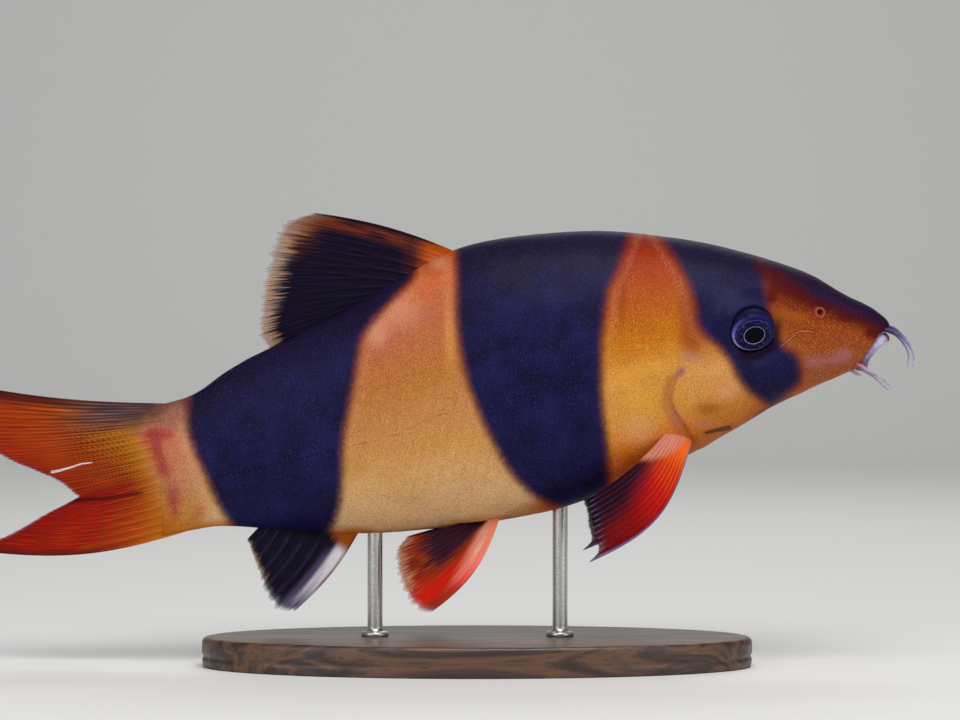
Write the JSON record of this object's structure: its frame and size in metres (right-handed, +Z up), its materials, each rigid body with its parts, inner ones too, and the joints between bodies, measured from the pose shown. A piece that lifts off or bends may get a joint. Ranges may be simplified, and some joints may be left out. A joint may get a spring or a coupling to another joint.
{
  "type": "clown loach model",
  "caption": "Life-size still model of a banded clown loach with raised dorsal fin, forked tail and barbels, held nose-up on rods over a flat oval base.",
  "frame": {"origin": "centre of the stand base's flat underside", "axes": "+X along the fish's length towards its head, +Y to the fish's left, +Z up"},
  "size_m": [0.1973, 0.05, 0.0909],
  "materials": {
    "skin": "wet fish skin, golden tan with broad blue-black bands",
    "dark_fin": "thin blue-black fin membrane over fine rays, orange at its front",
    "orange_fin": "thin orange fin membrane over fine rays",
    "red_fin": "thin red fin membrane over fine rays",
    "barbel": "soft moist skin",
    "eye": "clear glossy cornea over a dark iris",
    "stand_base": "satin dark walnut",
    "stand_rod": "brushed"
  },
  "bodies": {
    "root": {"head": "skin", "trunk": "skin", "tail_stalk": "skin", "dorsal_fin": "dark_fin", "anal_fin": "dark_fin", "tail_fin_upper": "orange_fin", "tail_fin_lower": "orange_fin", "pelvic_fin_left": "red_fin", "pelvic_fin_right": "red_fin", "pectoral_fin_left": "red_fin", "pectoral_fin_right": "red_fin", "eye_left": "eye", "eye_right": "eye", "rostral_inner_left": "barbel", "rostral_inner_right": "barbel", "rostral_outer_left": "barbel", "rostral_outer_right": "barbel", "maxillary_left": "barbel", "maxillary_right": "barbel", "mandibular_left": "barbel", "mandibular_right": "barbel", "stand_base": "stand_base", "stand_rod_front": "stand_rod", "stand_rod_rear": "stand_rod"}
  },
  "joints": []
}
